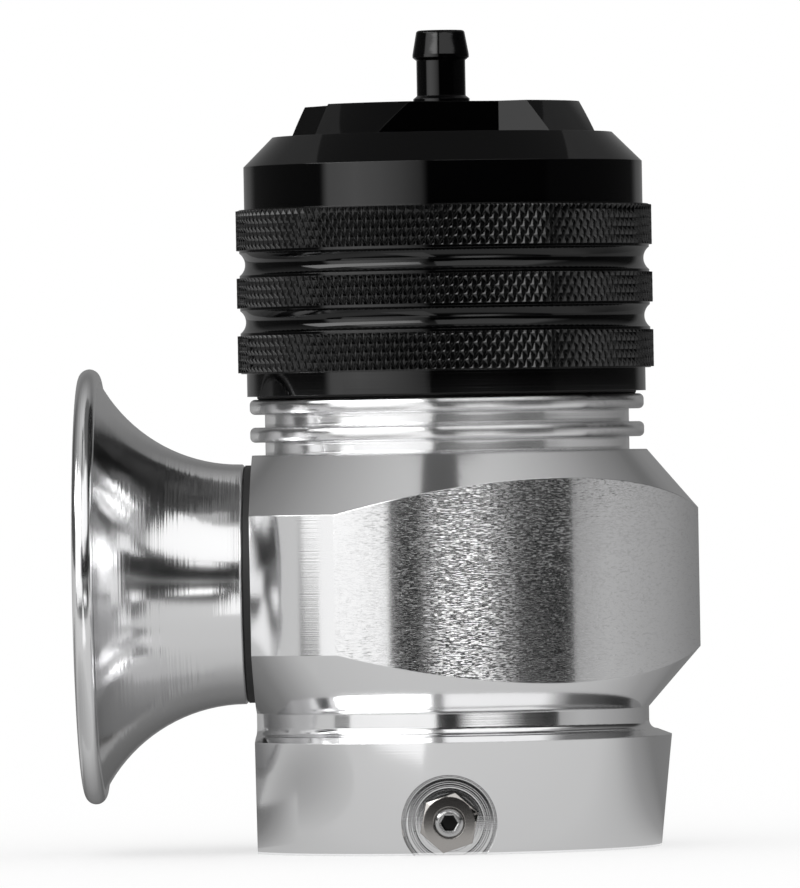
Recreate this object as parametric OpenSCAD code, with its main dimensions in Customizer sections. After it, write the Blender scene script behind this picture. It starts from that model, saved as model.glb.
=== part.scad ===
// Blow off valve: a turned and milled body, a screwed cap that sets the spring,
// a flared outlet horn and a clamped inlet socket.
// Millimetres, +Z up. The origin is the middle of the inlet socket's mouth,
// and the horn points along -X.

/* [Inlet base] */
// Bore of the socket that slips over the inlet stub
socket_d = 38.2; // [37.6:0.1:38.8]
// Depth of the socket above the base plane
socket_depth = 12; // [11.6:0.1:12.6]
// Diameter of the tapered base at its lower edge
base_low_d = 55.2; // [54.6:0.2:56.4]
// Diameter of the tapered base at its upper edge
base_high_d = 58.4; // [57.6:0.2:60]
// Height of the tapered base
base_h = 14.8; // [14.4:0.2:16]
// Height of the slope from the base in to the neck's fillet
base_slope_h = 0.7; // [0.4:0.1:1.2]
// Radius of the hollow fillet between that slope and the neck
neck_fillet = 1.2; // [0.8:0.1:1.6]
// Diameter of the turned neck above the base
neck_d = 52.4; // [52:0.2:53.2]
// Height of the turned neck
neck_h = 1.8; // [1.2:0.1:2.6]

/* [Body block] */
// Largest diameter of the body block
body_d = 66.4; // [65.2:0.2:68]
// Height of the full-diameter band
band_h = 18.4; // [17.6:0.2:20]
// Height of each conical shoulder
cone_h = 7.9; // [7.2:0.1:8.6]
// Diameter at the top of the upper cone
shoulder_d = 53; // [52:0.2:54]
// Curve radius of the two milled side faces
face_arc_r = 39.9; // [39:0.1:41]
// Distance from the valve axis to the middle of a side face
face_r = 29.5; // [29:0.1:30]
// Angle of each side face from the +X direction
face_angle = 59; // [57:0.5:61]
// Distance from the valve axis to the outlet flat
outlet_flat = 25.8; // [25.4:0.1:25.9]

/* [Ribbed collar] */
// How far the two ribs stay inside the cap's plain wall
rib_inset = 0.3; // [0.2:0.05:0.4]
// Depth of the space between the ribs
rib_depth = 2; // [1.7:0.1:2.1]
// Thickness of a rib
rib_t = 2; // [1.8:0.1:2.2]
// Space under each rib
rib_gap = 1.7; // [1.4:0.1:2]
// Edge rounding of a rib
rib_round = 0.7; // [0.4:0.1:0.8]

/* [Piston and seat] */
// Bore that guides the piston
piston_bore_d = 36; // [35:0.2:37]
// Throat through the seat
throat_d = 29; // [28:0.2:29.6]
// Thickness of the seat land
seat_t = 4; // [3.6:0.1:4.6]
// Length of the piston
piston_h = 45.9; // [45:0.1:47]
// Wall of the hollow piston above its floor
piston_wall = 2.95; // [2.8:0.05:3.2]
// Floor thickness of the piston
piston_floor_t = 4.9; // [4:0.1:6]
// Height of a piston ring
ring_h = 2; // [1.6:0.1:2.4]
// Radial thickness of a piston ring
ring_t = 1.4; // [1.2:0.05:1.5]
// Distance between the two piston rings
ring_pitch = 6; // [5:0.1:7]
// Distance from the piston's top to the upper ring
ring_inset = 3; // [2.4:0.1:4]
// Width of the face seal under the piston
face_seal_w = 1.6; // [1.2:0.1:1.8]
// Height of the face seal
face_seal_h = 1.3; // [1.1:0.1:1.6]

/* [Spring and perch] */
// Wire diameter of the main spring
wire_d = 2.6; // [2:0.1:2.8]
// Mean coil diameter of the main spring
coil_d = 24; // [23:0.2:25]
// Turns of the main spring, its two closed ends included
coil_turns = 8; // [7:0.5:10]
// Diameter of the spring perch
perch_d = 30; // [29:0.2:32]
// Flange thickness of the spring perch
perch_t = 3; // [2.4:0.1:3.6]
// Length of the perch's hub inside the spring
perch_hub_h = 3; // [2:0.1:5]
// Breathing hole through the perch and the thrust washer's inner diameter
perch_hole_d = 12; // [10:0.2:14]
// Thickness of the thrust washer under the cap
washer_t = 1; // [0.8:0.1:1.4]

/* [Cap] */
// Gap between the collar and the cap when it is screwed right down
cap_gap = 0.4; // [0.3:0.05:0.7]
// Outer diameter of the cap's plain parts
cap_d = 53; // [52.6:0.2:53.6]
// How far the knurled bands stand out from the plain parts
knurl_proud = 1.15; // [0.9:0.05:1.3]
// Depth of the knurling; the bands are drawn plain, at the bottom of its grooves
knurl_depth = 0.4; // [0.2:0.05:0.5]
// Height of the plain skirt
skirt_h = 3.05; // [2.6:0.05:3.6]
// Height of the lowest knurled band
low_band_h = 5.15; // [4.6:0.05:5.8]
// Height of the middle knurled band
mid_band_h = 4.2; // [3.8:0.05:5]
// Height of the highest knurled band
high_band_h = 5.5; // [4.8:0.05:6]
// Width of each hollow groove between the bands
groove_w = 3.45; // [3:0.05:3.8]
// Height of the plain wall above the bands
cap_wall_h = 5.7; // [5:0.1:7]
// Size of the 45 degree chamfer at the top
cap_chamfer = 3.9; // [3:0.1:4.1]
// Wall of the cap outside the thread that joins it to the body
cap_thread_wall = 2.7; // [2.65:0.05:2.9]
// Length of that thread
cap_thread_len = 13; // [12:0.2:14]
// Step from the cap's thread in to the spring chamber
chamber_step = 2.8; // [2.4:0.1:3.4]
// Thickness of the cap's roof under its flat shoulder
roof_t = 5.8; // [5:0.1:6.4]

/* [Cap boss] */
// Diameter of the tapered boss at its foot
boss_low_d = 43.8; // [42.8:0.2:44.4]
// Diameter of the tapered boss at its top
boss_high_d = 37.4; // [36.4:0.2:38.4]
// Height of the boss
boss_h = 4.1; // [3.4:0.1:4.8]
// Number of grip notches around the boss
notch_count = 4; // [3:1:4]
// Distance from the axis to the long wall of a notch
notch_long_r = 14.8; // [14.4:0.1:15.4]
// Distance from the axis to the short wall of a notch
notch_short_r = 7.3; // [6.9:0.1:7.7]
// Direction of the long wall, from -Y towards +X
notch_long_angle = 26; // [23:1:29]
// Direction of the short wall, from -Y towards +X
notch_short_angle = -29; // [-32:1:-26]

/* [Hose barb] */
// Outer diameter of the barb's ridge and foot
barb_d = 7.5; // [7.2:0.1:8]
// Diameter of the plain stem
barb_stem_d = 6.5; // [6.2:0.1:6.8]
// Diameter at the tip
barb_tip_d = 6.5; // [6:0.1:6.8]
// Bore through the barb
barb_bore_d = 3.4; // [3:0.1:4]
// Height from the boss to the tip
barb_h = 9.8; // [9.4:0.1:11]
// Height of the ridge's tapered part
barb_ridge_h = 3.6; // [3:0.1:4]
// Thread diameter into the cap's roof
barb_thread_d = 6; // [5.6:0.1:6.2]
// Thread length into the cap's roof
barb_thread_len = 6; // [5:0.1:7]

/* [Outlet horn] */
// Diameter of the horn where it meets the gasket
horn_tube_d = 31.9; // [31.4:0.1:32.4]
// Step from the tube in to the thread that holds the horn; the gasket covers it
horn_step = 1.75; // [1.55:0.05:2]
// Wall of the horn inside that thread
horn_wall = 1.7; // [1.5:0.05:2]
// Depth of the threaded counterbore
horn_thread_len = 5.9; // [5:0.1:6.2]
// Length of the straight throat inside the horn
horn_throat_len = 3; // [2:0.1:4]
// Length of the straight tube between the gasket and the flare
horn_tube_len = 0.6; // [0.5:0.1:1]
// Length of the horn from the outlet flat to its mouth
horn_len = 23.1; // [22.6:0.1:24]
// Curve radius of the outer flare
horn_flare_r = 21.2; // [21.2:0.1:22]
// Outer diameter of the lip
lip_d = 57.9; // [57:0.1:58.4]
// Thickness of the rolled lip
lip_t = 2.8; // [2.4:0.1:3]
// Thickness of the gasket behind the horn
gasket_t = 1.1; // [0.8:0.1:1.3]

/* [Clamp screws] */
// Number of clamp screws around the base
screw_count = 3; // [2:1:3]
// Height of the screws above the base plane
screw_z = 4.25; // [4.15:0.05:4.6]
// Diameter of a set screw
screw_d = 4; // [3.6:0.1:4.4]
// Distance from the valve axis to a screw's outer end
screw_end_r = 28.3; // [28.2:0.1:29]
// Width across the flats of a jam nut
nut_flats = 7; // [6.6:0.1:7.2]
// Thickness of a jam nut
nut_t = 2.8; // [2.4:0.1:2.9]
// Turn of a jam nut about its screw
nut_turn = 18; // [0:1:29]
// Diameter of the round seat milled for a nut
spot_d = 12.6; // [12:0.1:13]
// Distance from the valve axis to the floor of that seat
spot_r = 25.2; // [25:0.1:25.4]
// Width across the flats of the hexagon in a set screw
key_flats = 2; // [1.6:0.1:2.2]
// Depth of that hexagon
key_depth = 2.2; // [1.6:0.1:3]

/* [Inlet seal] */
// Height of the seal's groove above the base plane
inlet_seal_z = 8.4; // [8.2:0.1:8.6]
// Height of the seal
inlet_seal_h = 2.2; // [1.8:0.1:2.4]
// Radial thickness of the seal
inlet_seal_t = 1.2; // [1:0.1:1.4]

/* [Hidden] */
$fn = 96;
// Radial clearance of running and screwed fits
run_clear = 0.05;
// Radial clearance of the cap's thread
thread_clear = 0.1;
// Free space behind seals and at the ends of threads
slack = 0.3;
// How far a cutting tool runs past a face
over = 1;

// Heights of the body, from the base plane up
fillet_z = base_h + base_slope_h;
neck_low_z = fillet_z + neck_fillet;
neck_high_z = neck_low_z + neck_h;
band_low_z = neck_high_z + cone_h;
band_high_z = band_low_z + band_h;
shoulder_z = band_high_z + cone_h;
rib_z = shoulder_z + rib_gap;
rib_pitch = rib_t + rib_gap;
collar_z = rib_z + rib_pitch + rib_t;
body_top_z = collar_z + cap_thread_len;
outlet_z = (band_low_z + band_high_z) / 2;
seat_z = socket_depth + seat_t;

// Diameters of the ribbed collar, which follow the cap
rib_d = cap_d - 2 * rib_inset;
rib_root_d = rib_d - 2 * rib_depth;

// Offset of a side face's curve from the valve axis, towards the far side
face_shift = face_arc_r - face_r;

// Heights of the cap, from its skirt up
cap_z = collar_z + cap_gap;
low_band_z = cap_z + skirt_h;
low_groove_z = low_band_z + low_band_h;
mid_band_z = low_groove_z + groove_w;
high_groove_z = mid_band_z + mid_band_h;
high_band_z = high_groove_z + groove_w;
cap_wall_z = high_band_z + high_band_h;
chamfer_z = cap_wall_z + cap_wall_h;
cap_top_z = chamfer_z + cap_chamfer;
boss_top_z = cap_top_z + boss_h;
ceiling_z = cap_top_z - roof_t;
band_r = cap_d / 2 + knurl_proud - knurl_depth;
groove_arc_r = (groove_w * groove_w / 4 + knurl_proud * knurl_proud) / (2 * knurl_proud);
cap_thread_d = cap_d - 2 * cap_thread_wall;
chamber_d = cap_thread_d - 2 * chamber_step;
cap_bore_r = cap_thread_d / 2 + thread_clear;
cap_seal_h = 1.4;
cap_seal_t = 1.1;
cap_rebate_r = cap_bore_r + cap_seal_t + 2 * slack;

// Heights and radii of the moving parts
seal_proud = 0.1;
piston_z = seat_z + seal_proud;
piston_top_z = piston_z + piston_h;
piston_r = piston_bore_d / 2 - run_clear;
piston_floor_z = piston_z + piston_floor_t;
ring_r = piston_bore_d / 2 - run_clear / 2;
upper_ring_z = piston_top_z - ring_inset - ring_h;
lower_ring_z = upper_ring_z - ring_pitch;
face_seal_r = (throat_d + piston_bore_d) / 4;
washer_z = ceiling_z - washer_t;
perch_z = washer_z - perch_t;
spring_len = perch_z - piston_floor_z;
hub_r = coil_d / 2 - wire_d / 2 - slack;

// Diameters of the horn's thread and of the outlet port, which is also the horn's throat
horn_thread_d = horn_tube_d - 2 * horn_step;
outlet_d = horn_thread_d - 2 * horn_wall;

// Places along the horn's axis, measured from the valve axis outwards
horn_face = outlet_flat + gasket_t;
horn_seat = outlet_flat - horn_thread_len;
flare_u = horn_face + horn_tube_len;
lip_r = lip_t / 2;
lip_u = outlet_flat + horn_len - lip_r;
lip_mid_r = lip_d / 2 - lip_r;
// Point of the lip where the inner flare runs out, 60 degrees below its front
flare_end_u = lip_u + lip_r * cos(60);
flare_end_r = lip_mid_r - lip_r * sin(60);
flare_start_u = horn_seat + slack + horn_throat_len;
flare_run = flare_end_u - flare_start_u;
flare_rise = flare_end_r - outlet_d / 2;
inner_flare_r = (flare_run * flare_run + flare_rise * flare_rise) / (2 * flare_rise);

// Spring path: closed ends, which nearly touch the next coil, and open coils between
wire_sides = 8;
steps_per_turn = 20;
closed_turns = 1;
closed_pitch = wire_d + slack;
spring_steps = coil_turns * steps_per_turn;
open_rise = spring_len - wire_d - 2 * closed_turns * closed_pitch;
open_turns = coil_turns - 2 * closed_turns;

valve_body();
inlet_seal();
set_screws();
jam_nuts();
piston();
face_seal();
lower_piston_ring();
upper_piston_ring();
main_spring();
spring_perch();
thrust_washer();
cap();
cap_seal();
hose_barb();
horn();
horn_gasket();

// A plain ring about the valve axis.
module ring(inner_r, outer_r, z, h) {
    translate([0, 0, z])
        difference() {
            cylinder(r = outer_r, h = h);
            translate([0, 0, -over])
                cylinder(r = inner_r, h = h + 2 * over);
        }
}

// A seal ring about the valve axis with rounded edges.
module seal_ring(inner_r, outer_r, z, h) {
    edge = min(h, outer_r - inner_r) / 4;
    rotate_extrude() {
        translate([inner_r + edge, z])
            square([outer_r - inner_r - 2 * edge, h]);
        translate([inner_r, z + edge])
            square([outer_r - inner_r, h - 2 * edge]);
        for (r = [inner_r + edge, outer_r - edge]) {
            for (y = [z + edge, z + h - edge]) {
                translate([r, y])
                    circle(r = edge);
            }
        }
    }
}

// Places its child along -Y and repeats it around the base, one per clamp screw.
module around_base() {
    for (i = [0 : screw_count - 1]) {
        rotate([0, 0, i * 360 / screw_count])
            translate([0, 0, screw_z])
                rotate([90, 0, 0])
                    children();
    }
}

// Section of one rib of the collar, with rounded edges.
module rib_section(z) {
    rib_r = rib_d / 2;
    root_r = rib_root_d / 2 - over;
    translate([root_r, z])
        square([rib_r - rib_round - root_r, rib_t]);
    translate([root_r, z + rib_round])
        square([rib_r - root_r, rib_t - 2 * rib_round]);
    for (y = [z + rib_round, z + rib_t - rib_round]) {
        translate([rib_r - rib_round, y])
            circle(r = rib_round);
    }
}

// Section of the fillet between the base and the neck.
module neck_fillet_section() {
    difference() {
        translate([neck_d / 2 - over, fillet_z - over])
            square(neck_fillet + over);
        translate([neck_d / 2 + neck_fillet, neck_low_z])
            circle(r = neck_fillet);
    }
}

// The turned outside of the body, before any milling.
module body_turning() {
    rotate_extrude() {
        polygon([
            [0, 0],
            [base_low_d / 2, 0],
            [base_high_d / 2, base_h],
            [neck_d / 2 + neck_fillet, fillet_z],
            [neck_d / 2, fillet_z],
            [neck_d / 2, neck_high_z],
            [body_d / 2, band_low_z],
            [body_d / 2, band_high_z],
            [shoulder_d / 2, shoulder_z],
            [rib_root_d / 2, shoulder_z],
            [rib_root_d / 2, collar_z - rib_t / 2],
            [cap_thread_d / 2, collar_z - rib_t / 2],
            [cap_thread_d / 2, body_top_z],
            [0, body_top_z]
        ]);
        neck_fillet_section();
        rib_section(rib_z);
        rib_section(rib_z + rib_pitch);
    }
}

// What milling takes off to leave one curved side face.
module side_face_cut(angle) {
    cut_z = neck_high_z + over;
    cut_h = shoulder_z - neck_high_z - 2 * over;
    rotate([0, 0, angle])
        translate([0, 0, cut_z])
            difference() {
                cylinder(r = body_d / 2 + over, h = cut_h);
                translate([-face_shift, 0, -over])
                    cylinder(r = face_arc_r, h = cut_h + 2 * over);
            }
}

// Socket, throat, seat and piston bore, all on the valve axis.
module body_bores() {
    translate([0, 0, -over])
        cylinder(d = socket_d, h = socket_depth + over);
    translate([0, 0, socket_depth - over])
        cylinder(d = throat_d, h = seat_t + 2 * over);
    translate([0, 0, seat_z])
        cylinder(d = piston_bore_d, h = body_top_z - seat_z + over);
    ring(throat_d / 2, socket_d / 2 + inlet_seal_t + slack, inlet_seal_z, inlet_seal_h);
}

// Outlet port and its threaded counterbore, along -X.
module outlet_bores() {
    translate([0, 0, outlet_z])
        rotate([0, -90, 0]) {
            cylinder(d = outlet_d, h = body_d);
            translate([0, 0, horn_seat])
                cylinder(r = horn_thread_d / 2 + run_clear, h = body_d);
        }
}

module valve_body() {
    color([0.80, 0.81, 0.82])
        difference() {
            body_turning();
            side_face_cut(face_angle);
            side_face_cut(-face_angle);
            translate([-outlet_flat - body_d, -body_d / 2, -over])
                cube([body_d, body_d, shoulder_z + 2 * over]);
            body_bores();
            outlet_bores();
            around_base() {
                translate([0, 0, spot_r])
                    cylinder(d = spot_d, h = body_d);
                translate([0, 0, throat_d / 2])
                    cylinder(r = screw_d / 2 + run_clear, h = body_d);
            }
        }
}

module inlet_seal() {
    seal_r = socket_d / 2 + run_clear;
    color([0.05, 0.05, 0.05])
        seal_ring(seal_r, seal_r + inlet_seal_t, inlet_seal_z, inlet_seal_h);
}

// Set screws drawn back just clear of the socket, as before clamping.
module set_screws() {
    tip_r = socket_d / 2 + slack;
    chamfer = 0.5;
    color([0.62, 0.62, 0.63])
        around_base()
            difference() {
                translate([0, 0, tip_r]) {
                    cylinder(r1 = screw_d / 2 - chamfer, r2 = screw_d / 2, h = chamfer);
                    translate([0, 0, chamfer])
                        cylinder(d = screw_d, h = screw_end_r - tip_r - 2 * chamfer);
                    translate([0, 0, screw_end_r - tip_r - chamfer])
                        cylinder(r1 = screw_d / 2, r2 = screw_d / 2 - chamfer, h = chamfer);
                }
                translate([0, 0, screw_end_r - key_depth])
                    cylinder(d = key_flats / cos(30), h = key_depth + over, $fn = 6);
            }
}

// Jam nuts with the corners of their outer face turned off.
module jam_nuts() {
    corner_r = nut_flats / 2 / cos(30);
    bevel_h = 0.6;
    bevel_w = 0.1;
    color([0.70, 0.70, 0.69])
        around_base()
            translate([0, 0, spot_r])
                difference() {
                    intersection() {
                        rotate([0, 0, nut_turn])
                            cylinder(r = corner_r, h = nut_t, $fn = 6);
                        rotate_extrude()
                            polygon([
                                [screw_d / 4, -over],
                                [corner_r + over, -over],
                                [corner_r + over, nut_t - bevel_h],
                                [nut_flats / 2 - bevel_w, nut_t],
                                [screw_d / 4, nut_t]
                            ]);
                    }
                    translate([0, 0, -over])
                        cylinder(r = screw_d / 2 + run_clear, h = nut_t + 2 * over);
                }
}

// Hollow piston, open at the top for the spring, with a seal groove in its nose.
module piston() {
    edge = 0.6;
    groove_r = ring_r - ring_t - slack;
    color([0.70, 0.71, 0.72])
        difference() {
            rotate_extrude()
                polygon([
                    [0, piston_z],
                    [piston_r - edge, piston_z],
                    [piston_r, piston_z + edge],
                    [piston_r, piston_top_z - edge],
                    [piston_r - edge, piston_top_z],
                    [piston_r - piston_wall, piston_top_z],
                    [piston_r - piston_wall, piston_floor_z],
                    [0, piston_floor_z]
                ]);
            ring(groove_r, piston_r + over, upper_ring_z, ring_h);
            ring(groove_r, piston_r + over, lower_ring_z, ring_h);
            ring(face_seal_r - face_seal_w / 2 - run_clear,
                face_seal_r + face_seal_w / 2 + run_clear,
                seat_z - over, face_seal_h + over);
        }
}

module face_seal() {
    color([0.08, 0.08, 0.08])
        seal_ring(face_seal_r - face_seal_w / 2, face_seal_r + face_seal_w / 2, seat_z, face_seal_h);
}

module lower_piston_ring() {
    color([0.12, 0.12, 0.12])
        ring(ring_r - ring_t, ring_r, lower_ring_z, ring_h);
}

module upper_piston_ring() {
    color([0.12, 0.12, 0.12])
        ring(ring_r - ring_t, ring_r, upper_ring_z, ring_h);
}

// Height of the wire's middle after a number of turns from the lower end.
function wire_z(turn) =
    turn < closed_turns
        ? wire_d / 2 + closed_pitch * turn
        : turn > coil_turns - closed_turns
            ? spring_len - wire_d / 2 - closed_pitch * (coil_turns - turn)
            : wire_d / 2 + closed_pitch * closed_turns + open_rise * (turn - closed_turns) / open_turns;

// One corner of the wire's outline, at a step along the coil. The outline's
// half turn of offset puts a flat side down.
function wire_point(step, side) =
    let (
        turn = step / steps_per_turn,
        angle = 360 * (side + 0.5) / wire_sides,
        corner_r = wire_d / 2 / cos(180 / wire_sides),
        r = coil_d / 2 + corner_r * cos(angle),
        z = wire_z(turn) + corner_r * sin(angle)
    )
    [r * cos(360 * turn), r * sin(360 * turn), piston_floor_z + z];

// Coil spring, made as one faceted sweep.
module main_spring() {
    points = [
        for (step = [0 : spring_steps])
            for (side = [0 : wire_sides - 1])
                wire_point(step, side)
    ];
    walls = [
        for (step = [0 : spring_steps - 1])
            for (side = [0 : wire_sides - 1])
                let (
                    a = step * wire_sides + side,
                    b = step * wire_sides + (side + 1) % wire_sides
                )
                each [[a, b, b + wire_sides], [a, b + wire_sides, a + wire_sides]]
    ];
    first_end = [for (side = [wire_sides - 1 : -1 : 0]) side];
    last_end = [for (side = [0 : wire_sides - 1]) spring_steps * wire_sides + side];
    color([0.55, 0.56, 0.58])
        polyhedron(points = points, faces = concat(walls, [first_end, last_end]));
}

// Upper spring seat with a hub that centres the coil.
module spring_perch() {
    color([0.58, 0.59, 0.60])
        difference() {
            union() {
                translate([0, 0, perch_z])
                    cylinder(d = perch_d, h = perch_t);
                translate([0, 0, perch_z - perch_hub_h])
                    cylinder(r = hub_r, h = perch_hub_h + perch_t);
            }
            translate([0, 0, perch_z - perch_hub_h - over])
                cylinder(d = perch_hole_d, h = perch_hub_h + perch_t + 2 * over);
        }
}

module thrust_washer() {
    color([0.85, 0.84, 0.80])
        ring(perch_hole_d / 2, perch_d / 2, washer_z, washer_t);
}

// Outside of the cap from skirt to chamfer, with its two hollow grooves.
module cap_section() {
    difference() {
        polygon([
            [0, cap_z],
            [cap_d / 2, cap_z],
            [cap_d / 2, low_band_z],
            [band_r, low_band_z],
            [band_r, cap_wall_z],
            [cap_d / 2, cap_wall_z],
            [cap_d / 2, chamfer_z],
            [cap_d / 2 - cap_chamfer, cap_top_z],
            [0, cap_top_z]
        ]);
        for (z = [low_groove_z, high_groove_z]) {
            translate([cap_d / 2 + groove_arc_r, z + groove_w / 2])
                circle(r = groove_arc_r);
        }
    }
}

// Inside of the cap: seal rebate, thread, spring chamber, air way and barb thread.
module cap_hollow() {
    rebate_z = cap_z + cap_seal_h - cap_gap + slack;
    thread_end_z = body_top_z + over;
    barb_hole_z = boss_top_z - barb_thread_len - slack;
    barb_hole_r = barb_thread_d / 2 + run_clear;
    rotate_extrude()
        polygon([
            [0, cap_z - over],
            [cap_rebate_r, cap_z - over],
            [cap_rebate_r, rebate_z],
            [cap_bore_r, rebate_z],
            [cap_bore_r, thread_end_z],
            [chamber_d / 2, thread_end_z],
            [chamber_d / 2, ceiling_z],
            [barb_bore_d / 2, ceiling_z],
            [barb_bore_d / 2, barb_hole_z],
            [barb_hole_r, barb_hole_z],
            [barb_hole_r, boss_top_z + over],
            [0, boss_top_z + over]
        ]);
}

// One grip notch of the boss: a long and a short wall that meet in a corner.
module boss_notch() {
    turn = notch_long_angle - notch_short_angle;
    // Distance along the long wall from its foot on the normal to the corner
    along = (notch_long_r * cos(turn) - notch_short_r) / sin(turn);
    reach = boss_low_d;
    rotate([0, 0, notch_long_angle])
        translate([along, -notch_long_r, cap_top_z - 2 * over])
            linear_extrude(height = boss_h + 4 * over)
                polygon([
                    [0, 0],
                    [-reach, 0],
                    [-reach, -reach],
                    [reach * cos(turn), -reach],
                    [reach * cos(turn), -reach * sin(turn)]
                ]);
}

// Tapered boss with its grip notches. It starts inside the cap's roof.
module cap_boss() {
    slope = (boss_low_d - boss_high_d) / 2 / boss_h;
    difference() {
        translate([0, 0, cap_top_z - over])
            cylinder(r1 = boss_low_d / 2 + slope * over, r2 = boss_high_d / 2, h = boss_h + over);
        for (i = [0 : notch_count - 1]) {
            rotate([0, 0, i * 360 / notch_count])
                boss_notch();
        }
    }
}

module cap() {
    color([0.04, 0.04, 0.045])
        difference() {
            union() {
                rotate_extrude()
                    cap_section();
                cap_boss();
            }
            cap_hollow();
        }
}

module cap_seal() {
    seal_r = cap_thread_d / 2 + slack;
    color([0.03, 0.03, 0.03])
        seal_ring(seal_r, seal_r + cap_seal_t, collar_z, cap_seal_h);
}

// Hose barb with a low foot, a plain stem and one tapered ridge.
module hose_barb() {
    foot_h = 0.7;
    foot_flare_h = 0.4;
    ridge_under = 0.4;
    ridge_land = 0.4;
    tip_round = 0.4;
    tip_z = boss_top_z + barb_h;
    ridge_z = tip_z - barb_ridge_h;
    color([0.04, 0.04, 0.045])
        rotate_extrude() {
            polygon([
                [barb_bore_d / 2, boss_top_z - barb_thread_len],
                [barb_thread_d / 2, boss_top_z - barb_thread_len],
                [barb_thread_d / 2, boss_top_z],
                [barb_d / 2, boss_top_z],
                [barb_d / 2, boss_top_z + foot_h],
                [barb_stem_d / 2, boss_top_z + foot_h + foot_flare_h],
                [barb_stem_d / 2, ridge_z - ridge_under],
                [barb_d / 2, ridge_z],
                [barb_d / 2, ridge_z + ridge_land],
                [barb_tip_d / 2, tip_z - tip_round],
                [barb_tip_d / 2 - tip_round, tip_z - tip_round],
                [barb_tip_d / 2 - tip_round, tip_z],
                [barb_bore_d / 2, tip_z]
            ]);
            translate([barb_tip_d / 2 - tip_round, tip_z - tip_round])
                circle(r = tip_round);
        }
}

// Section of the horn: radius across, distance from the valve axis up.
module horn_section() {
    tube_r = horn_tube_d / 2;
    edge = 0.4;
    difference() {
        union() {
            translate([0, horn_seat + slack])
                square([horn_thread_d / 2, horn_thread_len + gasket_t]);
            difference() {
                translate([0, horn_face])
                    square([lip_mid_r, flare_end_u - horn_face]);
                translate([tube_r, horn_face - over])
                    square([lip_mid_r, horn_tube_len + over]);
                translate([tube_r + horn_flare_r, flare_u])
                    circle(r = horn_flare_r);
                polygon([
                    [tube_r - edge, horn_face - over],
                    [tube_r - edge, horn_face],
                    [tube_r + over, horn_face + edge + over],
                    [tube_r + over, horn_face - over]
                ]);
            }
            translate([lip_mid_r, lip_u])
                circle(r = lip_r);
        }
        translate([0, horn_seat])
            square([outlet_d / 2, horn_len + horn_thread_len]);
        difference() {
            translate([0, flare_start_u])
                square([outlet_d / 2 + inner_flare_r, horn_len + outlet_flat - flare_start_u]);
            translate([outlet_d / 2 + inner_flare_r, flare_start_u])
                circle(r = inner_flare_r);
        }
    }
}

module horn() {
    color([0.84, 0.85, 0.86])
        translate([0, 0, outlet_z])
            rotate([0, -90, 0])
                rotate_extrude()
                    horn_section();
}

module horn_gasket() {
    color([0.04, 0.04, 0.04])
        translate([0, 0, outlet_z])
            rotate([0, -90, 0])
                ring(horn_thread_d / 2 + slack, horn_tube_d / 2 - slack / 2, outlet_flat, gasket_t);
}
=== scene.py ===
# %% [markdown]
# # A blow off valve on a white table
# The valve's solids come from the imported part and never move. This lesson dresses them: it presses the
# knurling, winds a smooth spring, and gives every metal the marks that its machine left on it.

# %% Load the part
import math

import bmesh
import bpy
from mathutils import Matrix, Vector


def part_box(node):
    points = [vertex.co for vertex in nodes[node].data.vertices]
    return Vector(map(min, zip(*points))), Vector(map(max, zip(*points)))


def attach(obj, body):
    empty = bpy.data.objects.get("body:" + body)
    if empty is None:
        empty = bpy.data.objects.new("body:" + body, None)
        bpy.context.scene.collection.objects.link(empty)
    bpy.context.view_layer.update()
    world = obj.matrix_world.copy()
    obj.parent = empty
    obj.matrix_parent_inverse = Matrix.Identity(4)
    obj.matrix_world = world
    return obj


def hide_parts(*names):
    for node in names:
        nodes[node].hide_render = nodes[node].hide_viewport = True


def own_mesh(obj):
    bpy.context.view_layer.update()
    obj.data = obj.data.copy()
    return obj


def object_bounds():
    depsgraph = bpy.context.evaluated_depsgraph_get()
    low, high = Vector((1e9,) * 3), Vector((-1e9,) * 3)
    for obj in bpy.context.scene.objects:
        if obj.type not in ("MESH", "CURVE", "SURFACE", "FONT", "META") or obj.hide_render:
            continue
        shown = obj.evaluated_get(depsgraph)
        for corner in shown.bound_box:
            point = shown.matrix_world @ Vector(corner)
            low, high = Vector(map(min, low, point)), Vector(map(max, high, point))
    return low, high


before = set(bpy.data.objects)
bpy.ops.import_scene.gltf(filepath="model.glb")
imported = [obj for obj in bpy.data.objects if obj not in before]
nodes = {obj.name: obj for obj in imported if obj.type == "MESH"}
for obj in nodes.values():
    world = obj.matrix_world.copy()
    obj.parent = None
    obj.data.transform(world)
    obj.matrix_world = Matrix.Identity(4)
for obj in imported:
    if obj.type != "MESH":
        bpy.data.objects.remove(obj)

cad_low, cad_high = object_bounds()
scene = bpy.context.scene
mm = 0.001
AXIS = Vector((0, 0, 1))
print("CAD box in mm:", [round(v / mm, 1) for v in (*cad_low, *cad_high)])

# %% [markdown]
# ## Small helpers for pieces
# A new piece starts as a bmesh and ends as an object at the origin, with its place in its vertices.
# It also rides on one body of the part, so that it moves with that body.


# %% Helpers for pieces
def new_piece(bm, name, material, body):
    """Turns a bmesh into a finished piece that rides on a body of the part."""
    bmesh.ops.recalc_face_normals(bm, faces=bm.faces)
    open_edges = sum(1 for edge in bm.edges if edge.is_boundary)
    mesh = bpy.data.meshes.new(name)
    bm.to_mesh(mesh)
    bm.free()
    mesh.materials.append(material)
    piece = bpy.data.objects.new(name, mesh)
    scene.collection.objects.link(piece)
    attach(piece, body)
    print(name, "has", len(mesh.polygons), "faces and", open_edges, "open edges")
    return piece


def dress(node, material):
    """Gives a node of the part a new material."""
    mesh = nodes[node].data
    mesh.materials.clear()
    mesh.materials.append(material)


# %% [markdown]
# ## Reading a surface like a machinist
# Every mark on a turned part runs around its axis, so a pattern needs only two numbers: the height along
# the axis and the distance from it. These small node chains give both, and each metal below uses them.


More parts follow.
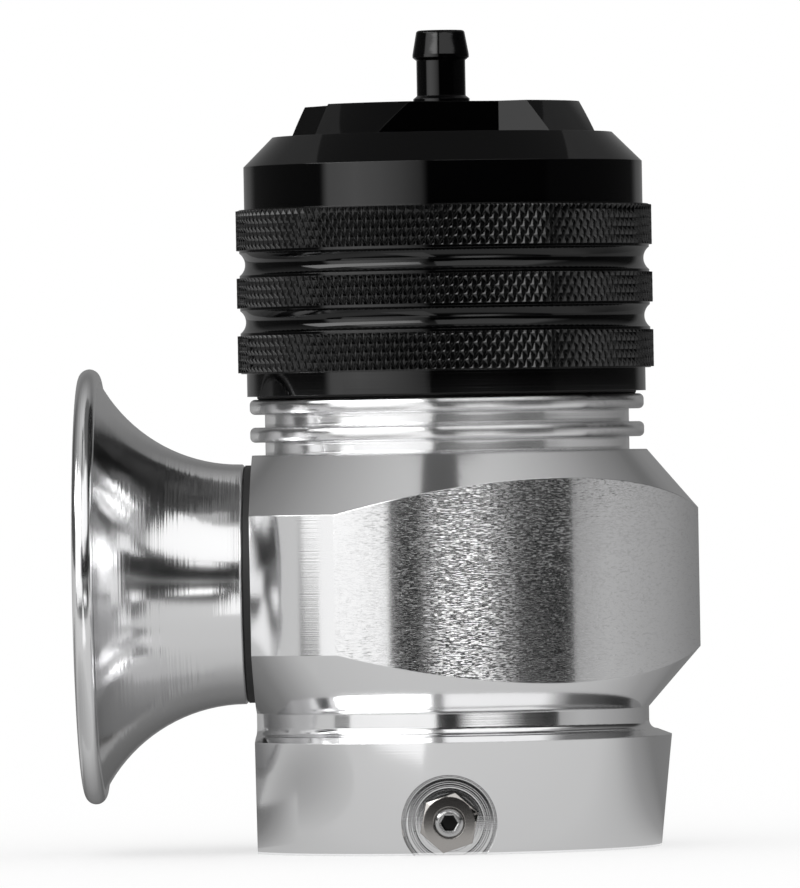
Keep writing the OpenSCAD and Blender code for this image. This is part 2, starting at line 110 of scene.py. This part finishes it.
# %% Helpers for materials
def new_material(name, colour, metallic, roughness):
    """A material with its shader set, ready for a pattern."""
    material = bpy.data.materials.new(name)
    material.use_nodes = True
    shader = material.node_tree.nodes["Principled BSDF"]
    shader.inputs["Base Color"].default_value = (*colour, 1)
    shader.inputs["Metallic"].default_value = metallic
    shader.inputs["Roughness"].default_value = roughness
    return material, material.node_tree, shader


def calc(tree, operation, *values):
    """A math node whose inputs are links or plain numbers."""
    node = tree.nodes.new("ShaderNodeMath")
    node.operation = operation
    for socket, value in zip(node.inputs, values):
        if isinstance(value, (int, float)):
            socket.default_value = value
        else:
            tree.links.new(value, socket)
    return node.outputs[0]


def place_of(tree, turn=0.0, centre=(0, 0, 0)):
    """Object coordinates as seen from a centre, turned about Z. Gives X, Y and Z."""
    coordinates = tree.nodes.new("ShaderNodeTexCoord")
    mapping = tree.nodes.new("ShaderNodeMapping")
    mapping.vector_type = "TEXTURE"
    mapping.inputs["Location"].default_value = centre
    mapping.inputs["Rotation"].default_value = (0, 0, turn)
    parts = tree.nodes.new("ShaderNodeSeparateXYZ")
    tree.links.new(coordinates.outputs["Object"], mapping.inputs["Vector"])
    tree.links.new(mapping.outputs["Vector"], parts.inputs[0])
    return parts.outputs


def distance(tree, first, second):
    """Distance from an axis, from two coordinates at right angles to it."""
    first_square = calc(tree, "MULTIPLY", first, first)
    second_square = calc(tree, "MULTIPLY", second, second)
    return calc(tree, "SQRT", calc(tree, "ADD", first_square, second_square))


def lines(tree, place, pitch):
    """Random lines along one coordinate, about one pitch apart, from 0 to 1."""
    noise = tree.nodes.new("ShaderNodeTexNoise")
    noise.noise_dimensions = "1D"
    noise.inputs["Scale"].default_value = 1 / pitch
    noise.inputs["Detail"].default_value = 2
    tree.links.new(place, noise.inputs["W"])
    return noise.outputs[0]


RADIUS_SHARE = 0.37


def lathe_lines(tree, height, radius, pitch):
    """Tool marks around an axis: they show on walls, on cones and on flat ends alike."""
    return lines(tree, calc(tree, "ADD", height, calc(tree, "MULTIPLY", radius, RADIUS_SHARE)), pitch)


def raise_surface(tree, shader, height, depth, edge=0.0):
    """Raises the surface by a pattern from 0 to 1, and rounds its edges by a small radius."""
    bump = tree.nodes.new("ShaderNodeBump")
    bump.inputs["Distance"].default_value = depth
    tree.links.new(height, bump.inputs["Height"])
    tree.links.new(bump.outputs["Normal"], shader.inputs["Normal"])
    if edge:
        bevel = tree.nodes.new("ShaderNodeBevel")
        bevel.samples = 4
        bevel.inputs["Radius"].default_value = edge
        tree.links.new(bevel.outputs["Normal"], bump.inputs["Normal"])
        return bevel
    return None


def ramp(tree, value, low, high, stops):
    """Levels of grey along a value: each stop is a value between low and high, and its level."""
    node = tree.nodes.new("ShaderNodeValToRGB")
    elements = node.color_ramp.elements
    spread = high - low
    while len(elements) < len(stops):
        elements.new(0.5)
    for element, (at, level) in zip(elements, stops):
        element.position = (at - low) / spread
        element.color = (level, level, level, 1)
    share = calc(tree, "DIVIDE", calc(tree, "SUBTRACT", value, low), spread)
    tree.links.new(share, node.inputs[0])
    return node.outputs["Color"]


# %% [markdown]
# ## The body's aluminium
# The body was turned on a lathe. Then its two side faces were sanded level, which leaves short scratches,
# and a milling cutter left rings around each clamp screw. A noise would blur the scratches, so each one is a
# flat cell of a stretched Voronoi pattern and tilts by its own amount. A mask finds each place by its own
# circle: a point lies on a side face when its distance from that face's centre line is the face's radius.

# %% Body sizes
FACE_ARC_R = 39.9 * mm
FACE_SHIFT = 10.4 * mm
FACE_TURN = math.radians(59)
SCREW_Z = 4.25 * mm
SCREW_TURNS = (-90, 30, 150)
SPOT_R = 6.2 * mm
SPOT_FLOOR = 25.2 * mm
DASH_LEN = 0.45 * mm
DASH_H = 0.1 * mm
RING_PITCH = 0.8 * mm
LATHE_PITCH = 0.2 * mm
MARK_DEPTH = 0.02 * mm
DASH_SHARE = 0.42
RING_SHARE = 2.0
LATHE_SHARE = 0.06
ON_SURFACE = 0.05 * mm
EDGE_R = 0.15 * mm
COLLAR_EDGE_R = 0.7 * mm
SHOULDER_Z = 52.0 * mm
print("one scratch is", round(DASH_LEN / mm, 2), "mm long and", round(DASH_H / mm, 2), "mm high")


# %% Marks on the body
def close_to(tree, value, target):
    """One where a value meets its target and zero elsewhere."""
    miss = calc(tree, "ABSOLUTE", calc(tree, "SUBTRACT", value, target))
    return calc(tree, "LESS_THAN", miss, ON_SURFACE)


def side_face_mask(tree, place):
    """One on a side face and zero elsewhere."""
    off_centre = distance(tree, calc(tree, "ADD", place[0], FACE_SHIFT), place[1])
    near = close_to(tree, off_centre, FACE_ARC_R)
    return calc(tree, "MULTIPLY", near, calc(tree, "GREATER_THAN", place[0], 0.0))


def scratches(tree, place):
    """Short level dashes, each tilted up or down by its own amount."""
    along = calc(tree, "DIVIDE", place[1], DASH_LEN)
    up = calc(tree, "DIVIDE", place[2], DASH_H)
    stretched = tree.nodes.new("ShaderNodeCombineXYZ")
    tree.links.new(along, stretched.inputs[0])
    tree.links.new(up, stretched.inputs[1])
    cells = tree.nodes.new("ShaderNodeTexVoronoi")
    cells.voronoi_dimensions = "2D"
    cells.inputs["Scale"].default_value = 1.0
    tree.links.new(stretched.outputs[0], cells.inputs["Vector"])
    middle = tree.nodes.new("ShaderNodeSeparateXYZ")
    tree.links.new(cells.outputs["Position"], middle.inputs[0])
    chance = tree.nodes.new("ShaderNodeSeparateColor")
    tree.links.new(cells.outputs["Color"], chance.inputs[0])
    slope = calc(tree, "SUBTRACT", chance.outputs[0], 0.5)
    return calc(tree, "MULTIPLY", calc(tree, "SUBTRACT", up, middle.outputs["Y"]), slope)


def spot_rings(tree, place):
    """Rings on the round seat of a clamp screw, and zero elsewhere."""
    from_screw = distance(tree, place[1], place[2])
    inside = calc(tree, "LESS_THAN", from_screw, SPOT_R)
    mask = calc(tree, "MULTIPLY", inside, close_to(tree, place[0], SPOT_FLOOR))
    return calc(tree, "MULTIPLY", lines(tree, from_screw, RING_PITCH), mask)


# %% Body aluminium
def make_body_metal():
    material, tree, shader = new_material(
        "turned_aluminium", colour=(0.86, 0.86, 0.865), metallic=1.0, roughness=0.11
    )
    place = place_of(tree)
    around = distance(tree, place[0], place[1])
    height = calc(tree, "MULTIPLY", lathe_lines(tree, place[2], around, LATHE_PITCH), LATHE_SHARE)
    for turn in (FACE_TURN, -FACE_TURN):
        face = place_of(tree, turn)
        marks = calc(tree, "MULTIPLY", scratches(tree, face), side_face_mask(tree, face))
        height = calc(tree, "ADD", height, calc(tree, "MULTIPLY", marks, DASH_SHARE))
    for turn in SCREW_TURNS:
        seat = place_of(tree, math.radians(turn), (0, 0, SCREW_Z))
        rings = calc(tree, "MULTIPLY", spot_rings(tree, seat), RING_SHARE)
        height = calc(tree, "ADD", height, rings)
    bevel = raise_surface(tree, shader, height, MARK_DEPTH, edge=EDGE_R)
    ribbed = calc(tree, "GREATER_THAN", place[2], SHOULDER_Z)
    soft_edge = calc(tree, "MULTIPLY", ribbed, COLLAR_EDGE_R - EDGE_R)
    tree.links.new(calc(tree, "ADD", soft_edge, EDGE_R), bevel.inputs["Radius"])
    return material


body_metal = make_body_metal()
dress("valve_body", body_metal)
print("body metal has", len(body_metal.node_tree.nodes), "nodes")

# %% [markdown]
# ## Black anodised cap
# Anodising grows a hard black skin on aluminium. What shows of it is the room, reflected at a few parts in
# a hundred, so the base is nearly black and the shine is plain and clear.


# %% Cap black
def make_cap_black():
    material, tree, shader = new_material(
        "black_anodised", colour=(0.0006, 0.0006, 0.0007), metallic=0.0, roughness=0.06
    )
    shader.inputs["IOR"].default_value = 1.45
    place = place_of(tree)
    around = distance(tree, place[0], place[1])
    marks = lathe_lines(tree, place[2], around, pitch=0.15 * mm)
    raise_surface(tree, shader, marks, depth=0.0008 * mm, edge=0.12 * mm)
    return material


cap_black = make_cap_black()
dress("cap", cap_black)
dress("hose_barb", cap_black)
print("cap and hose barb share one black")

# %% [markdown]
# ## Diamond knurling
# A knurling tool presses two sets of steep grooves into a band, and small blunt pyramids stay between them.
# The band is built in the same order: one tall diamond stands on its point, is copied up the band and then
# around it, and each diamond is drawn up to a blunt top. The ends are trimmed flat and closed inwards.

# %% Knurl sizes
KNURL_R = 27.65 * mm
KNURL_DEPTH = 0.36 * mm
KNURL_COUNT = 142
DIAMOND_H = 2.25 * mm
FLANK_W = 0.48 * mm
SKIRT_H = 3.05 * mm
BAND_H = (5.15 * mm, 4.2 * mm, 5.5 * mm)
GROOVE_W = 3.45 * mm
BAND_INSET = 0.12 * mm
INNER_SHARE = 0.975
SAME_POINT = 0.03 * mm
CUT_SLACK = 0.001 * mm
knurl_root = KNURL_R - KNURL_DEPTH
diamond_w = 2 * math.pi * knurl_root / KNURL_COUNT
print("one diamond is", round(diamond_w / mm, 2), "mm wide and", round(DIAMOND_H / mm, 2), "mm tall")


# %% Lay out the diamonds
def diamond_sheet(low, high):
    """Diamonds on their points, all around the band and a little past its two ends."""
    bm = bmesh.new()
    half_rows = math.ceil((high - low) / (DIAMOND_H / 2)) + 1
    bmesh.ops.create_circle(bm, cap_ends=True, segments=4, radius=0.5)
    stand_up = Matrix.Rotation(math.radians(90), 4, "Y")
    size = Matrix.Diagonal((1, diamond_w, DIAMOND_H, 1))
    put = Matrix.Translation((knurl_root, 0, low))
    bmesh.ops.transform(bm, matrix=put @ size @ stand_up, verts=bm.verts)
    first = list(bm.faces)
    for step in range(1, half_rows + 1):
        copy = bmesh.ops.duplicate(bm, geom=first)
        moved = [part for part in copy["geom"] if isinstance(part, bmesh.types.BMVert)]
        bmesh.ops.translate(bm, verts=moved, vec=(0, 0, step * DIAMOND_H / 2))
        half_turn = Matrix.Rotation(math.pi / KNURL_COUNT * (step % 2), 3, "Z")
        bmesh.ops.rotate(bm, verts=moved, cent=(0, 0, 0), matrix=half_turn)
    bmesh.ops.spin(
        bm, geom=bm.faces[:], cent=(0, 0, 0), axis=AXIS, use_duplicate=True,
        angle=2 * math.pi * (KNURL_COUNT - 1) / KNURL_COUNT, steps=KNURL_COUNT - 1,
    )
    bmesh.ops.remove_doubles(bm, verts=bm.verts, dist=SAME_POINT)
    bmesh.ops.recalc_face_normals(bm, faces=bm.faces)
    face = bm.faces[:][0]
    middle = face.calc_center_median()
    if face.normal.dot(Vector((middle.x, middle.y, 0))) < 0:
        bmesh.ops.reverse_faces(bm, faces=bm.faces)
    return bm


# %% Press and trim the bands
def trim(bm, z, side):
    """Cuts the sheet flat at a height and drops what lies on the given side of it."""
    everything = bm.verts[:] + bm.edges[:] + bm.faces[:]
    bmesh.ops.bisect_plane(
        bm, geom=everything, plane_co=(0, 0, z), plane_no=(0, 0, side), clear_outer=True, dist=CUT_SLACK
    )


def close_inwards(bm, shrink):
    """Turns the open sheet into a closed ring by walls that run inwards."""
    rims = [edge for edge in bm.edges if edge.is_boundary]
    made = bmesh.ops.extrude_edge_only(bm, edges=rims)["geom"]
    inner = [part for part in made if isinstance(part, bmesh.types.BMVert)]
    bmesh.ops.scale(bm, vec=(shrink, shrink, 1), verts=inner)
    loops = [part for part in made if isinstance(part, bmesh.types.BMEdge) and part.is_boundary]
    bmesh.ops.bridge_loops(bm, edges=loops)


def knurled_band(name, low, high):
    bm = diamond_sheet(low, high)
    bmesh.ops.inset_individual(bm, faces=bm.faces, thickness=FLANK_W, depth=KNURL_DEPTH)
    trim(bm, low, -1)
    trim(bm, high, 1)
    close_inwards(bm, INNER_SHARE)
    return new_piece(bm, name, cap_black, "cap")


band_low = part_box("cap")[0].z + SKIRT_H
for name, band_height in zip(("knurl_low", "knurl_middle", "knurl_high"), BAND_H):
    knurled_band(name, band_low + BAND_INSET, band_low + band_height - BAND_INSET)
    band_low += band_height + GROOVE_W

# %% [markdown]
# ## The horn
# The horn is turned and then polished a little, so fine tool marks stay. They run around its own axis,
# which is level here, and blur every reflection along that axis. Coarser marks lie under the fine ones.

# %% Horn metal
FINE_PITCH = 0.25 * mm
COARSE_PITCH = 1.1 * mm
COARSE_SHARE = 2.0


def make_horn_metal():
    material, tree, shader = new_material(
        "polished_aluminium", colour=(0.87, 0.87, 0.875), metallic=1.0, roughness=0.15
    )
    low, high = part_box("horn")
    place = place_of(tree, centre=(0, 0, (low.z + high.z) / 2))
    around = distance(tree, place[1], place[2])
    fine = lathe_lines(tree, place[0], around, FINE_PITCH)
    coarse = calc(tree, "MULTIPLY", lathe_lines(tree, place[0], around, COARSE_PITCH), COARSE_SHARE)
    raise_surface(tree, shader, calc(tree, "ADD", fine, coarse), depth=0.014 * mm, edge=0.15 * mm)
    return material


horn_metal = make_horn_metal()
dress("horn", horn_metal)
print("horn metal has", len(horn_metal.node_tree.nodes), "nodes")

# %% [markdown]
# ## Steel, rubber and plastic
# The small parts get one finish each. Rubber is matt with a faint grain, screws and nuts are bright steel,
# and the hidden parts keep the finish that their maker would leave on them.


# %% Small finishes
def grained(name, colour, metallic, roughness, pitch, depth, edge=0.0):
    """A finish with an even grain."""
    material, tree, shader = new_material(name, colour, metallic, roughness)
    coordinates = tree.nodes.new("ShaderNodeTexCoord")
    noise = tree.nodes.new("ShaderNodeTexNoise")
    noise.inputs["Scale"].default_value = 1 / pitch
    noise.inputs["Detail"].default_value = 2
    tree.links.new(coordinates.outputs["Object"], noise.inputs["Vector"])
    raise_surface(tree, shader, noise.outputs[0], depth, edge)
    return material


rubber = grained("seal_rubber", (0.012, 0.012, 0.012), 0.0, 0.55, 0.3 * mm, 0.01 * mm)
screw_steel = grained("screw_steel", (0.6, 0.6, 0.6), 1.0, 0.12, 0.4 * mm, 0.0005 * mm, edge=0.3 * mm)
nut_steel = grained("nut_steel", (0.5, 0.48, 0.46), 1.0, 0.08, 0.4 * mm, 0.0005 * mm, edge=0.2 * mm)
spring_steel = grained("spring_wire", (0.4, 0.4, 0.42), 1.0, 0.3, 0.5 * mm, 0.005 * mm)
piston_metal = grained("piston_aluminium", (0.7, 0.7, 0.71), 1.0, 0.28, 0.4 * mm, 0.004 * mm)
ring_plastic = grained("ring_plastic", (0.05, 0.05, 0.05), 0.0, 0.5, 0.3 * mm, 0.004 * mm)
washer_plastic = grained("washer_plastic", (0.75, 0.74, 0.7), 0.0, 0.45, 0.3 * mm, 0.004 * mm)
finishes = {
    "set_screws": screw_steel,
    "jam_nuts": nut_steel,
    "piston": piston_metal,
    "spring_perch": piston_metal,
    "lower_piston_ring": ring_plastic,
    "upper_piston_ring": ring_plastic,
    "thrust_washer": washer_plastic,
    "face_seal": rubber,
    "inlet_seal": rubber,
    "cap_seal": rubber,
    "horn_gasket": rubber,
}
for node, material in finishes.items():
    dress(node, material)
print(len(finishes), "small nodes dressed")

# %% [markdown]
# ## Painted shade in the key holes
# A clamp screw's end is ground bright, and shade is painted into its key hole as a dark base colour. The
# screw is one solid, so a mask finds the hole: it is narrow, and it lies behind the screw's end.

# %% Key holes
KEY_R = 1.17 * mm
KEY_START = 0.1 * mm
STEEL_LEVEL = 0.6
KEY_HOLE_SHADE_LEVEL = 0.03
screw_end = -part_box("set_screws")[0].y


def paint_key_hole_shade(material):
    tree = material.node_tree
    shader = tree.nodes["Principled BSDF"]
    inside = None
    for turn in SCREW_TURNS:
        place = place_of(tree, math.radians(turn), (0, 0, SCREW_Z))
        narrow = calc(tree, "LESS_THAN", distance(tree, place[1], place[2]), KEY_R)
        deep = calc(tree, "LESS_THAN", place[0], screw_end - KEY_START)
        facing = calc(tree, "GREATER_THAN", place[0], 0.0)
        hole = calc(tree, "MULTIPLY", calc(tree, "MULTIPLY", narrow, deep), facing)
        inside = hole if inside is None else calc(tree, "ADD", inside, hole)
    # painted shade: inside the key holes the steel's base colour turns nearly black
    levels = ramp(tree, inside, 0, 1, [(0, STEEL_LEVEL), (1, KEY_HOLE_SHADE_LEVEL)])
    tree.links.new(levels, shader.inputs["Base Color"])


paint_key_hole_shade(screw_steel)
print("screws end", round(screw_end / mm, 1), "mm from the axis")

# %% [markdown]
# ## The spring
# A spring is one round wire wound around a rod. A circle spun about the axis while it climbs does the same:
# one closed turn, six open turns, and one closed turn again.

# %% Wind the spring
WIRE_R = 1.3 * mm
COIL_R = 12 * mm
TURN_STEPS = 48
OPEN_TURNS = 6
CLOSED_PITCH = 2.9 * mm
spring_low, spring_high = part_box("main_spring")
spring_len = spring_high.z - spring_low.z


def wind_spring():
    bm = bmesh.new()
    made = bmesh.ops.create_circle(bm, cap_ends=False, segments=16, radius=WIRE_R)
    stand_up = Matrix.Rotation(math.radians(90), 4, "X")
    put = Matrix.Translation((COIL_R, 0, spring_low.z + WIRE_R))
    bmesh.ops.transform(bm, matrix=put @ stand_up, verts=made["verts"])
    wire_end = bm.verts[:] + bm.edges[:]
    open_pitch = (spring_len - 2 * WIRE_R - 2 * CLOSED_PITCH) / OPEN_TURNS
    for turns, pitch in ((1, CLOSED_PITCH), (OPEN_TURNS, open_pitch), (1, CLOSED_PITCH)):
        steps = turns * TURN_STEPS
        wound = bmesh.ops.spin(
            bm, geom=wire_end, cent=(0, 0, 0), axis=AXIS, angle=2 * math.pi * turns,
            dvec=(0, 0, pitch / TURN_STEPS), steps=steps,
        )
        wire_end = wound["geom_last"]
    bmesh.ops.holes_fill(bm, edges=[edge for edge in bm.edges if edge.is_boundary])
    return bm


spring = new_piece(wind_spring(), "wound_spring", spring_steel, "perch")
spring.data.shade_smooth()
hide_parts("main_spring")
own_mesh(spring)

# %% [markdown]
# ## Camera
# The photograph was taken from far away with a long lens, level with the middle of the valve. One scale
# fixes the lens: how many millimetres of the valve one pixel shows.

# %% Camera
IMAGE_W, IMAGE_H = 800, 888
MM_PER_PIXEL = 0.133 * mm
CAMERA_FAR = 1.68
CAMERA_TURN = math.radians(1.5)
CAMERA_ROLL = math.radians(-1.0)
CAMERA_Z = 56 * mm
AXIS_PIXEL_X = 447.4
AIM_Z = 53.9 * mm
SENSOR = 36.0

view_right = Vector((math.cos(CAMERA_TURN), math.sin(CAMERA_TURN), 0))
view_back = Vector((math.sin(CAMERA_TURN), -math.cos(CAMERA_TURN), 0))
aim = view_right * (IMAGE_W / 2 - AXIS_PIXEL_X) * MM_PER_PIXEL + Vector((0, 0, AIM_Z))
stand = aim + view_back * CAMERA_FAR
stand.z = CAMERA_Z
camera_data = bpy.data.cameras.new("camera")
camera_data.sensor_width = SENSOR
camera_data.lens = SENSOR * CAMERA_FAR / (IMAGE_H * MM_PER_PIXEL)
camera_data.clip_end = 20
camera = bpy.data.objects.new("camera", camera_data)
scene.collection.objects.link(camera)
look = (aim - stand).to_track_quat("-Z", "Y").to_matrix().to_4x4()
camera.matrix_world = Matrix.Translation(stand) @ look @ Matrix.Rotation(CAMERA_ROLL, 4, "Z")
scene.camera = camera
print("lens", round(camera_data.lens), "mm at", CAMERA_FAR, "m")

# %% [markdown]
# ## White room and table
# The room is white and so is the table. It glows a little, as a light table does, so its shadow stays faint.

# %% Room and table
ROOM_R = 3.0
world = bpy.data.worlds.new("white_room")
scene.world = world
world.use_nodes = True
world.node_tree.nodes["Background"].inputs["Color"].default_value = (1, 1, 1, 1)
world.node_tree.nodes["Background"].inputs["Strength"].default_value = 1.0


def staged(bm, name, material):
    """A piece of the studio, which is not part of the valve."""
    mesh = bpy.data.meshes.new(name)
    bm.to_mesh(mesh)
    bm.free()
    mesh.materials.append(material)
    obj = bpy.data.objects.new(name, mesh)
    scene.collection.objects.link(obj)
    return obj


table_paint, _, table_shader = new_material("light_table", (0.4, 0.4, 0.4), metallic=0.0, roughness=1.0)
table_shader.inputs["Specular IOR Level"].default_value = 0.0
table_shader.inputs["Emission Color"].default_value = (1, 1, 1, 1)
table_shader.inputs["Emission Strength"].default_value = 0.6
table_bm = bmesh.new()
bmesh.ops.create_circle(table_bm, cap_ends=True, segments=96, radius=2 * ROOM_R)
bmesh.ops.translate(table_bm, verts=table_bm.verts, vec=(0, 0, cad_low.z))
table = staged(table_bm, "table", table_paint)
print(table.name, "lies at", round(cad_low.z / mm, 1), "mm")

# %% [markdown]
# ## What the metal sees
# Polished metal shows its surroundings and little else. Here they are painted on a dome and on cards that
# only reflections see. The dome is light on the left, dark at the camera, and grey overhead.


# %% Paint for cards
def glow(name, strength):
    """A card's material, with its tree and the socket for its level."""
    material = bpy.data.materials.new(name)
    material.use_nodes = True
    tree = material.node_tree
    tree.nodes.clear()
    emission = tree.nodes.new("ShaderNodeEmission")
    emission.inputs["Strength"].default_value = strength
    output = tree.nodes.new("ShaderNodeOutputMaterial")
    tree.links.new(emission.outputs[0], output.inputs["Surface"])
    return material, tree, emission.inputs["Color"]


def bearing(tree):
    """Degrees from the camera's side towards the right of the picture."""
    place = place_of(tree, CAMERA_TURN)
    radians = calc(tree, "ARCTAN2", place[0], calc(tree, "MULTIPLY", place[1], -1.0))
    return calc(tree, "MULTIPLY", radians, 180 / math.pi)


def seen_in_reflections(bm, name, material):
    card = staged(bm, name, material)
    card.visible_camera = False
    card.visible_diffuse = False
    card.visible_shadow = False
    card.visible_transmission = False
    return card


# %% Dome
def make_dome_paint():
    material, tree, colour = glow("dome_paint", 1.2)
    horizon = ramp(tree, bearing(tree), -180, 180, [
        (-180, 0.2), (-150, 0.2), (-140, 0.05), (-75, 0.05), (-70, 1.2), (-52, 1.5), (-37, 1.28),
        (-25, 0.95), (-13, 0.5), (-9, 0.005), (60, 0.005), (64, 0.025), (140, 0.03), (150, 0.2), (180, 0.2),
    ])
    height = calc(tree, "DIVIDE", place_of(tree)[2], ROOM_R)
    tilt = calc(tree, "MULTIPLY", calc(tree, "ARCSINE", height), 180 / math.pi)
    overhead = ramp(tree, tilt, 0, 90, [
        (20, 0.12), (35, 0.16), (45, 0.22), (63, 0.38), (76, 0.5), (90, 0.5),
    ])
    share = ramp(tree, tilt, 0, 90, [(18, 0.0), (34, 1.0)])
    level = calc(
        tree, "ADD", calc(tree, "MULTIPLY", overhead, share),
        calc(tree, "MULTIPLY", horizon, calc(tree, "SUBTRACT", 1.0, share)),
    )
    tree.links.new(level, colour)
    return material


dome_bm = bmesh.new()
bmesh.ops.create_uvsphere(dome_bm, u_segments=96, v_segments=48, radius=ROOM_R)
dome = seen_in_reflections(dome_bm, "dome", make_dome_paint())
print(dome.name, "has a radius of", ROOM_R, "m")

# %% [markdown]
# ## Curved cards
# A card that is spun about the valve's axis shows on a turned part as a band with straight edges. The low
# cards stand close by, so the body sees them and the cap doesn't: grey on the right and the left, white at
# the front left, and a narrow one for the ribbed collar. The high ones stand further off: a softbox and a
# flash on the left, a window and a lamp at the front. The last one lies on the table and lights the sanded
# face from below. Each stop is a bearing in degrees, with its level.


# %% Curved cards
def round_card(name, stops, first, second):
    """A card spun about the valve's axis. Each of its two edges is a radius and a height."""
    material, tree, colour = glow(name, 1.0)
    tree.links.new(ramp(tree, bearing(tree), -180, 180, stops), colour)
    bm = bmesh.new()
    foot = bm.verts.new((first[0], 0, first[1]))
    top = bm.verts.new((second[0], 0, second[1]))
    edge = bm.edges.new((foot, top))
    start, end = min(stops)[0], max(stops)[0]
    turn = Matrix.Rotation(CAMERA_TURN + math.radians(start - 90), 3, "Z")
    bmesh.ops.rotate(bm, verts=bm.verts, cent=(0, 0, 0), matrix=turn)
    bmesh.ops.spin(
        bm, geom=[foot, top, edge], cent=(0, 0, 0), axis=AXIS, angle=math.radians(end - start), steps=48
    )
    seen_in_reflections(bm, name, material)


def wall_card(name, stops, low, high, far):
    """A curved upright card."""
    round_card(name, stops, (far, low), (far, high))


CARD_FOOT = 0.5 * mm
CARD_TOP = 60.5 * mm
right_levels = [(62, 0.38), (78, 0.47), (90, 0.43), (114, 0.33), (128, 0.26), (150, 0.2)]
left_levels = [(-170, 0.3), (-130, 0.5), (-70, 0.62)]
front_left_levels = [(-60, 1.0), (-30, 1.1), (-9, 1.05)]
collar_levels = [(-9, 0.25), (8, 0.45), (20, 0.6), (33, 0.45), (46, 0.32), (62, 0.33)]
wall_card("card_right", right_levels, low=CARD_FOOT, high=CARD_TOP, far=0.3)
wall_card("card_left", left_levels, low=CARD_FOOT, high=CARD_TOP, far=0.3)
wall_card("card_front_left", front_left_levels, low=CARD_FOOT, high=CARD_TOP, far=0.32)
wall_card("card_collar", collar_levels, low=51 * mm, high=60.3 * mm, far=0.31)

softbox_levels = [(-70, 1.4), (-52, 1.8), (-37, 1.5), (-25, 1.1), (-13, 0.6)]
flash_levels = [(-95, 3.0), (-75, 4.5), (-25, 4.5), (-15, 3.0)]
window_levels = [(-6, 0.0), (3, 0.05), (8, 0.8), (14, 1.2), (28, 1.2), (38, 0.4), (46, 0.1)]
lamp_levels = [(-6, 1.15), (62, 1.1), (72, 0.5), (80, 0.2)]
wall_card("card_softbox", softbox_levels, low=0.28, high=2.3, far=1.4)
wall_card("card_flash", flash_levels, low=0.62, high=1.3, far=1.35)
wall_card("card_window", window_levels, low=0.53, high=0.66, far=1.6)
wall_card("card_lamp", lamp_levels, low=0.64, high=2.4, far=1.5)

glow_levels = [(2, 0.0), (8, 1.2), (12, 1.7), (26, 1.6), (34, 0.7), (42, 0.15), (56, 0.03)]
glow_z = cad_low.z + 0.8 * mm
round_card("card_glow", glow_levels, (0.26, glow_z), (0.85, glow_z))
print("the glow lies", round(glow_z / mm, 1), "mm above the table")

# %% [markdown]
# ## Flat cards
# The table's own brightness is painted on a card too: bright in front of the valve, and darker further off
# and behind it. On it lie two shades under the horn, and a white strip in front of the horn that lights its
# lower side. Overhead hangs a dark gap, which the shoulder shows as a dark patch, and a small dark flag
# keeps the light off the cap's top.


# %% Helpers for flat cards
def plain_paint(name, level):
    """Paint of one level."""
    material, _, colour = glow(name, 1.0)
    colour.default_value = (level, level, level, 1)
    return material


def graded_paint(name, levels, measure):
    """Paint whose level follows a value that measure works out in the paint's own nodes."""
    material, tree, colour = glow(name, 1.0)
    tree.links.new(ramp(tree, measure(tree), levels[0][0], levels[-1][0], levels), colour)
    return material


def disc_card(name, material, radius, centre, segments=48):
    bm = bmesh.new()
    bmesh.ops.create_circle(bm, cap_ends=True, segments=segments, radius=radius)
    bmesh.ops.translate(bm, verts=bm.verts, vec=centre)
    seen_in_reflections(bm, name, material)


def sheet_card(name, material, width, length, centre, turn=0.0):
    bm = bmesh.new()
    bmesh.ops.create_grid(bm, x_segments=1, y_segments=1, size=0.5)
    size = Matrix.Diagonal((width, length, 1, 1))
    put = Matrix.Rotation(turn, 4, "Z") @ Matrix.Translation(centre)
    bmesh.ops.transform(bm, matrix=put @ size, verts=bm.verts)
    seen_in_reflections(bm, name, material)


# %% Cards on the table
def away_from_camera(tree):
    return place_of(tree, CAMERA_TURN)[1]


def from_shade_centre(tree):
    place = place_of(tree, centre=shade_centre)
    return distance(tree, place[0], place[1])


def backwards(tree):
    return place_of(tree)[1]


floor_levels = [
    (-0.2, 0.03), (-0.15, 0.1), (-0.11, 0.68), (-0.03, 0.6), (-0.01, 0.5), (0.0, 0.42), (0.014, 0.32),
    (0.06, 0.2),
]
floor_paint = graded_paint("card_floor", floor_levels, away_from_camera)
disc_card("card_floor", floor_paint, ROOM_R, (0, 0, cad_low.z + 0.3 * mm), segments=96)

SHADE_R = 40 * mm
shade_centre = Vector((-72 * mm, -20 * mm, cad_low.z + 0.6 * mm))
shade_levels = [(0, 0.36), (18 * mm, 0.42), (SHADE_R, 0.56)]
disc_card("card_shade", graded_paint("card_shade", shade_levels, from_shade_centre), SHADE_R, shade_centre)

strip_centre = (-37 * mm, -175 * mm, cad_low.z + 0.7 * mm)
sheet_card("card_strip", plain_paint("card_strip", 1.1), 42 * mm, 200 * mm, strip_centre)

under_levels = [(-18 * mm, 0.53), (-8 * mm, 0.34), (2.5 * mm, 0.21), (23 * mm, 0.14), (60 * mm, 0.1)]
under_centre = (-44 * mm, 21 * mm, cad_low.z + 0.75 * mm)
under_paint = graded_paint("card_under", under_levels, backwards)
sheet_card("card_under", under_paint, 36 * mm, 78 * mm, under_centre)

# %% Cards overhead
sheet_card("card_gap", plain_paint("card_gap", 0.1), 0.42, 1.2, (-0.09, -0.5, 2.1), turn=CAMERA_TURN)
disc_card("card_flag", plain_paint("card_flag", 0.12), 40 * mm, (0, 0, cad_high.z + 20 * mm))

# %% [markdown]
# ## Finish
# The picture keeps plain colours, without a film look.

# %% Finish
scene.view_settings.view_transform = "Standard"
